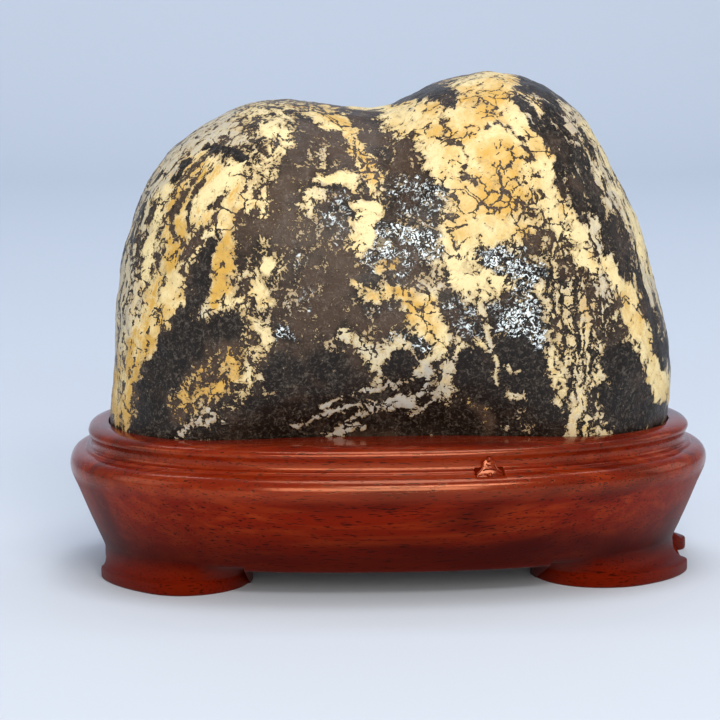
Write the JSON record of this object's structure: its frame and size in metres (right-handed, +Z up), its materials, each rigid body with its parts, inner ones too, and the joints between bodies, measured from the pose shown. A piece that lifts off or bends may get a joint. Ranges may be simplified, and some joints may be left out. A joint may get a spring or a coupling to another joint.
{
  "type": "scholar's rock on a carved stand",
  "caption": "Two-humped water-worn viewing stone seated in a carved hardwood stand with a domed rim, a flared apron and flanged feet.",
  "frame": {"origin": "on the table, under the middle of the stand's bounding box", "axes": "+X along the stand towards the taller hump's end, -Y is the shown front with the small carved ornament, +Z up"},
  "size_m": [0.18, 0.1054, 0.1399],
  "materials": {
    "stone": "water-worn and waxed, marbled cream, ochre, grey and near-black",
    "wood": "red-brown rosewood, polished and lacquered"
  },
  "bodies": {
    "root": {"stone": "stone", "stand": "wood"}
  },
  "joints": []
}
